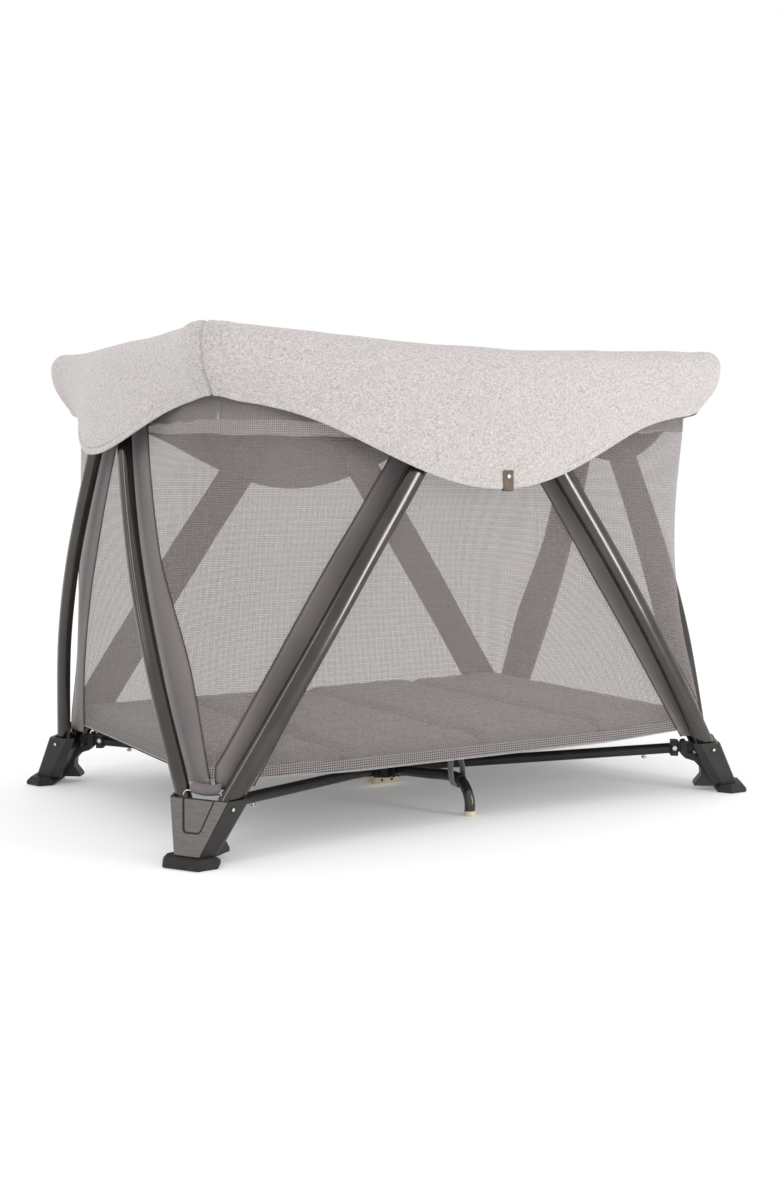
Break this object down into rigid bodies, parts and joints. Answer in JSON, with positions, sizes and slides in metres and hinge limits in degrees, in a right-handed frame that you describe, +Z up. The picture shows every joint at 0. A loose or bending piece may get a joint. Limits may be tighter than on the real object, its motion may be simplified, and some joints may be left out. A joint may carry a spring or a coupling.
{
  "type": "travel play yard",
  "caption": "Folding travel play yard: mesh tub on a curved tube frame with corner feet, a padded scalloped rail cover, a quilted mattress and an umbrella-style floor hub.",
  "frame": {"origin": "on the floor, at the middle of the yard", "axes": "+X along the long side to the right, +Y to the back, +Z up"},
  "size_m": [1.084, 0.7398, 0.751],
  "materials": {
    "bronze_tube": "dark bronze metallic satin paint",
    "black_tube": "satin black powder coat",
    "black_plastic": "moulded black plastic, fine grain",
    "foot_plastic": "dark bronze-grey moulded plastic, satin",
    "black_rubber": "matt black rubber",
    "cream_plastic": "cream moulded plastic, slightly translucent",
    "cover_fabric": "heather grey-beige melange weave",
    "mesh_fabric": "see-through warm grey mesh",
    "mattress_fabric": "quilted warm grey fabric"
  },
  "bodies": {
    "floor_hub": {"floor_hub": "black_plastic", "floor_hub_base_plate": "cream_plastic", "tub_floor": "mesh_fabric"},
    "fold_pull_handle": {"fold_pull_handle": "black_plastic"},
    "floor_arm_fl": {"floor_arm_fl": "black_tube", "arm_end_fitting_fl": "black_plastic"},
    "foot_fl": {"foot_housing_fl": "foot_plastic", "foot_pad_fl": "black_rubber"},
    "long_leg_fl": {"long_leg_fl": "bronze_tube"},
    "short_leg_fl": {"short_leg_fl": "bronze_tube"},
    "long_rail_fl": {"long_rail_fl": "black_tube"},
    "short_rail_fl": {"short_rail_fl": "black_tube"},
    "corner_joint_fl": {"corner_joint_fl": "black_plastic"},
    "floor_arm_fr": {"floor_arm_fr": "black_tube", "arm_end_fitting_fr": "black_plastic"},
    "foot_fr": {"foot_housing_fr": "foot_plastic", "foot_pad_fr": "black_rubber"},
    "long_leg_fr": {"long_leg_fr": "bronze_tube"},
    "short_leg_fr": {"short_leg_fr": "bronze_tube"},
    "long_rail_fr": {"long_rail_fr": "black_tube"},
    "short_rail_fr": {"short_rail_fr": "black_tube"},
    "corner_joint_fr": {"corner_joint_fr": "black_plastic"},
    "floor_arm_bl": {"floor_arm_bl": "black_tube", "arm_end_fitting_bl": "black_plastic"},
    "foot_bl": {"foot_housing_bl": "foot_plastic", "foot_pad_bl": "black_rubber"},
    "long_leg_bl": {"long_leg_bl": "bronze_tube"},
    "short_leg_bl": {"short_leg_bl": "bronze_tube"},
    "long_rail_bl": {"long_rail_bl": "black_tube"},
    "short_rail_bl": {"short_rail_bl": "black_tube"},
    "corner_joint_bl": {"corner_joint_bl": "black_plastic"},
    "floor_arm_br": {"floor_arm_br": "black_tube", "arm_end_fitting_br": "black_plastic"},
    "foot_br": {"foot_housing_br": "foot_plastic", "foot_pad_br": "black_rubber"},
    "long_leg_br": {"long_leg_br": "bronze_tube"},
    "short_leg_br": {"short_leg_br": "bronze_tube"},
    "long_rail_br": {"long_rail_br": "black_tube"},
    "short_rail_br": {"short_rail_br": "black_tube"},
    "corner_joint_br": {"corner_joint_br": "black_plastic"},
    "long_hub_front": {"long_hub_front": "black_plastic", "tub_wall_front": "mesh_fabric", "rail_cover_front": "cover_fabric"},
    "support_leg_front": {"support_leg_front": "bronze_tube", "support_leg_tip_front": "cream_plastic"},
    "long_hub_back": {"long_hub_back": "black_plastic", "tub_wall_back": "mesh_fabric", "rail_cover_back": "cover_fabric"},
    "support_leg_back": {"support_leg_back": "bronze_tube", "support_leg_tip_back": "cream_plastic"},
    "short_hub_left": {"short_hub_left": "black_plastic", "tub_wall_left": "mesh_fabric", "rail_cover_left": "cover_fabric"},
    "short_hub_right": {"short_hub_right": "black_plastic", "tub_wall_right": "mesh_fabric", "rail_cover_right": "cover_fabric"},
    "mattress_middle": {"mattress_middle_left": "mattress_fabric", "mattress_middle_right": "mattress_fabric"},
    "mattress_left": {"mattress_left": "mattress_fabric"},
    "mattress_right": {"mattress_right": "mattress_fabric"}
  },
  "joints": [
    {"name": "frame_fold", "type": "hinge", "parent": "floor_hub", "child": "floor_arm_fl", "pos_m": [-0.03701, -0.0256, 0.035], "axis": [0.5689, -0.8224, 0], "range_deg": [0, 88], "deforming": ["tub_floor", "tub_wall_front", "tub_wall_back", "tub_wall_left", "tub_wall_right", "rail_cover_front", "rail_cover_back", "rail_cover_left", "rail_cover_right", "mattress_left", "mattress_middle_left", "mattress_middle_right", "mattress_right"]},
    {"name": "arm_fold_fr", "type": "hinge", "parent": "floor_hub", "child": "floor_arm_fr", "pos_m": [0.03701, -0.0256, 0.035], "axis": [0.5689, 0.8224, 0], "range_deg": [0, 88.01]},
    {"name": "arm_fold_bl", "type": "hinge", "parent": "floor_hub", "child": "floor_arm_bl", "pos_m": [-0.03701, 0.0256, 0.035], "axis": [-0.5689, -0.8224, 0], "range_deg": [0, 88.01]},
    {"name": "arm_fold_br", "type": "hinge", "parent": "floor_hub", "child": "floor_arm_br", "pos_m": [0.03701, 0.0256, 0.035], "axis": [-0.5689, 0.8224, 0], "range_deg": [0, 88.01]},
    {"name": "foot_pivot_fl", "type": "hinge", "parent": "floor_arm_fl", "child": "foot_fl", "pos_m": [-0.43801, -0.30301, 0.075], "axis": [-0.5689, 0.8224, 0], "range_deg": [0, 88.01]},
    {"name": "foot_pivot_fr", "type": "hinge", "parent": "floor_arm_fr", "child": "foot_fr", "pos_m": [0.43801, -0.30301, 0.075], "axis": [-0.5689, -0.8224, 0], "range_deg": [0, 88.01]},
    {"name": "foot_pivot_bl", "type": "hinge", "parent": "floor_arm_bl", "child": "foot_bl", "pos_m": [-0.43801, 0.30301, 0.075], "axis": [0.5689, 0.8224, 0], "range_deg": [0, 88.01]},
    {"name": "foot_pivot_br", "type": "hinge", "parent": "floor_arm_br", "child": "foot_br", "pos_m": [0.43801, 0.30301, 0.075], "axis": [0.5689, -0.8224, 0], "range_deg": [0, 88.01]},
    {"name": "long_leg_pivot_fl", "type": "hinge", "parent": "foot_fl", "child": "long_leg_fl", "pos_m": [-0.447, -0.335, 0.08], "axis": [0, -1, 0], "range_deg": [0, 29.59]},
    {"name": "short_leg_pivot_fl", "type": "hinge", "parent": "foot_fl", "child": "short_leg_fl", "pos_m": [-0.488, -0.276, 0.08], "axis": [1, 0, 0], "range_deg": [0, 21.86]},
    {"name": "long_leg_pivot_fr", "type": "hinge", "parent": "foot_fr", "child": "long_leg_fr", "pos_m": [0.447, -0.335, 0.08], "axis": [0, 1, 0], "range_deg": [0, 29.59]},
    {"name": "short_leg_pivot_fr", "type": "hinge", "parent": "foot_fr", "child": "short_leg_fr", "pos_m": [0.488, -0.276, 0.08], "axis": [1, 0, 0], "range_deg": [0, 21.86]},
    {"name": "long_leg_pivot_bl", "type": "hinge", "parent": "foot_bl", "child": "long_leg_bl", "pos_m": [-0.447, 0.335, 0.08], "axis": [0, -1, 0], "range_deg": [0, 29.59]},
    {"name": "short_leg_pivot_bl", "type": "hinge", "parent": "foot_bl", "child": "short_leg_bl", "pos_m": [-0.488, 0.276, 0.08], "axis": [-1, 0, 0], "range_deg": [0, 21.86]},
    {"name": "long_leg_pivot_br", "type": "hinge", "parent": "foot_br", "child": "long_leg_br", "pos_m": [0.447, 0.335, 0.08], "axis": [0, 1, 0], "range_deg": [0, 29.59]},
    {"name": "short_leg_pivot_br", "type": "hinge", "parent": "foot_br", "child": "short_leg_br", "pos_m": [0.488, 0.276, 0.08], "axis": [-1, 0, 0], "range_deg": [0, 21.86]},
    {"name": "long_hub_pivot_front", "type": "hinge", "parent": "long_leg_fl", "child": "long_hub_front", "pos_m": [-0.041, -0.316, 0.69], "axis": [0, 1, 0], "range_deg": [0, 29.59]},
    {"name": "long_hub_pivot_back", "type": "hinge", "parent": "long_leg_br", "child": "long_hub_back", "pos_m": [0.041, 0.316, 0.69], "axis": [0, -1, 0], "range_deg": [0, 29.59]},
    {"name": "short_hub_pivot_left", "type": "hinge", "parent": "short_leg_bl", "child": "short_hub_left", "pos_m": [-0.48, 0.028, 0.69], "axis": [1, 0, 0], "range_deg": [0, 21.86]},
    {"name": "short_hub_pivot_right", "type": "hinge", "parent": "short_leg_fr", "child": "short_hub_right", "pos_m": [0.48, -0.028, 0.69], "axis": [-1, 0, 0], "range_deg": [0, 21.86]},
    {"name": "long_rail_pivot_fl", "type": "hinge", "parent": "long_hub_front", "child": "long_rail_fl", "pos_m": [-0.1, -0.286, 0.722], "axis": [0, -1, 0], "range_deg": [0, 94.57]},
    {"name": "corner_pivot_fl", "type": "hinge", "parent": "long_rail_fl", "child": "corner_joint_fl", "pos_m": [-0.428, -0.286, 0.722], "axis": [0, 1, 0], "range_deg": [0, 94.57]},
    {"name": "short_rail_pivot_fl", "type": "hinge", "parent": "short_hub_left", "child": "short_rail_fl", "pos_m": [-0.45, -0.014, 0.722], "axis": [1, 0, 0], "range_deg": [0, 87.96]},
    {"name": "long_rail_pivot_fr", "type": "hinge", "parent": "long_hub_front", "child": "long_rail_fr", "pos_m": [0.1, -0.286, 0.722], "axis": [0, 1, 0], "range_deg": [0, 94.57]},
    {"name": "corner_pivot_fr", "type": "hinge", "parent": "long_rail_fr", "child": "corner_joint_fr", "pos_m": [0.428, -0.286, 0.722], "axis": [0, -1, 0], "range_deg": [0, 94.57]},
    {"name": "short_rail_pivot_fr", "type": "hinge", "parent": "short_hub_right", "child": "short_rail_fr", "pos_m": [0.45, -0.014, 0.722], "axis": [1, 0, 0], "range_deg": [0, 87.96]},
    {"name": "long_rail_pivot_bl", "type": "hinge", "parent": "long_hub_back", "child": "long_rail_bl", "pos_m": [-0.1, 0.286, 0.722], "axis": [0, -1, 0], "range_deg": [0, 94.57]},
    {"name": "corner_pivot_bl", "type": "hinge", "parent": "long_rail_bl", "child": "corner_joint_bl", "pos_m": [-0.428, 0.286, 0.722], "axis": [0, 1, 0], "range_deg": [0, 94.57]},
    {"name": "short_rail_pivot_bl", "type": "hinge", "parent": "short_hub_left", "child": "short_rail_bl", "pos_m": [-0.45, 0.014, 0.722], "axis": [-1, 0, 0], "range_deg": [0, 87.96]},
    {"name": "long_rail_pivot_br", "type": "hinge", "parent": "long_hub_back", "child": "long_rail_br", "pos_m": [0.1, 0.286, 0.722], "axis": [0, 1, 0], "range_deg": [0, 94.57]},
    {"name": "corner_pivot_br", "type": "hinge", "parent": "long_rail_br", "child": "corner_joint_br", "pos_m": [0.428, 0.286, 0.722], "axis": [0, -1, 0], "range_deg": [0, 94.57]},
    {"name": "short_rail_pivot_br", "type": "hinge", "parent": "short_hub_right", "child": "short_rail_br", "pos_m": [0.45, 0.014, 0.722], "axis": [-1, 0, 0], "range_deg": [0, 87.96]},
    {"name": "support_leg_pivot_front", "type": "hinge", "parent": "floor_hub", "child": "support_leg_front", "pos_m": [0, -0.045, 0.035], "axis": [1, 0, 0], "range_deg": [0, 82.01]},
    {"name": "support_leg_pivot_back", "type": "hinge", "parent": "floor_hub", "child": "support_leg_back", "pos_m": [0, 0.045, 0.035], "axis": [-1, 0, 0], "range_deg": [0, 82.01]},
    {"name": "mattress_lift", "type": "slide", "parent": "floor_hub", "child": "mattress_middle", "axis": [0, 0, 1], "range_m": [0, 0.2621]},
    {"name": "mattress_fold_left", "type": "hinge", "parent": "mattress_middle", "child": "mattress_left", "pos_m": [-0.25, 0, 0.1082], "axis": [0, -1, 0], "range_deg": [0, 90.01]},
    {"name": "mattress_fold_right", "type": "hinge", "parent": "mattress_middle", "child": "mattress_right", "pos_m": [0.235, 0, 0.1082], "axis": [0, 1, 0], "range_deg": [0, 90.01]},
    {"name": "pull_handle_slide", "type": "slide", "parent": "floor_hub", "child": "fold_pull_handle", "axis": [0, 0, 1], "range_m": [0, 0.01]}
  ],
  "couplings": [
    {"joint": "arm_fold_fr", "follows": "frame_fold", "ratio": 1},
    {"joint": "arm_fold_bl", "follows": "frame_fold", "ratio": 1},
    {"joint": "arm_fold_br", "follows": "frame_fold", "ratio": 1},
    {"joint": "foot_pivot_fl", "follows": "frame_fold", "ratio": 1},
    {"joint": "foot_pivot_fr", "follows": "frame_fold", "ratio": 1},
    {"joint": "foot_pivot_bl", "follows": "frame_fold", "ratio": 1},
    {"joint": "foot_pivot_br", "follows": "frame_fold", "ratio": 1},
    {"joint": "long_leg_pivot_fl", "follows": "frame_fold", "ratio": 0.33619},
    {"joint": "short_leg_pivot_fl", "follows": "frame_fold", "ratio": 0.24834},
    {"joint": "long_leg_pivot_fr", "follows": "frame_fold", "ratio": 0.33619},
    {"joint": "short_leg_pivot_fr", "follows": "frame_fold", "ratio": 0.24834},
    {"joint": "long_leg_pivot_bl", "follows": "frame_fold", "ratio": 0.33619},
    {"joint": "short_leg_pivot_bl", "follows": "frame_fold", "ratio": 0.24834},
    {"joint": "long_leg_pivot_br", "follows": "frame_fold", "ratio": 0.33619},
    {"joint": "short_leg_pivot_br", "follows": "frame_fold", "ratio": 0.24834},
    {"joint": "long_hub_pivot_front", "follows": "frame_fold", "ratio": 0.33619},
    {"joint": "long_hub_pivot_back", "follows": "frame_fold", "ratio": 0.33619},
    {"joint": "short_hub_pivot_left", "follows": "frame_fold", "ratio": 0.24834},
    {"joint": "short_hub_pivot_right", "follows": "frame_fold", "ratio": 0.24834},
    {"joint": "long_rail_pivot_fl", "follows": "frame_fold", "ratio": 1.0746},
    {"joint": "corner_pivot_fl", "follows": "frame_fold", "ratio": 1.0746},
    {"joint": "short_rail_pivot_fl", "follows": "frame_fold", "ratio": 0.9994},
    {"joint": "long_rail_pivot_fr", "follows": "frame_fold", "ratio": 1.0746},
    {"joint": "corner_pivot_fr", "follows": "frame_fold", "ratio": 1.0746},
    {"joint": "short_rail_pivot_fr", "follows": "frame_fold", "ratio": 0.9994},
    {"joint": "long_rail_pivot_bl", "follows": "frame_fold", "ratio": 1.0746},
    {"joint": "corner_pivot_bl", "follows": "frame_fold", "ratio": 1.0746},
    {"joint": "short_rail_pivot_bl", "follows": "frame_fold", "ratio": 0.9994},
    {"joint": "long_rail_pivot_br", "follows": "frame_fold", "ratio": 1.0746},
    {"joint": "corner_pivot_br", "follows": "frame_fold", "ratio": 1.0746},
    {"joint": "short_rail_pivot_br", "follows": "frame_fold", "ratio": 0.9994},
    {"joint": "support_leg_pivot_front", "follows": "frame_fold", "ratio": 0.93182},
    {"joint": "support_leg_pivot_back", "follows": "frame_fold", "ratio": 0.93182},
    {"joint": "mattress_lift", "follows": "frame_fold", "m_per_rad": 0.17058},
    {"joint": "mattress_fold_left", "follows": "frame_fold", "ratio": 1.0227},
    {"joint": "mattress_fold_right", "follows": "frame_fold", "ratio": 1.0227}
  ]
}
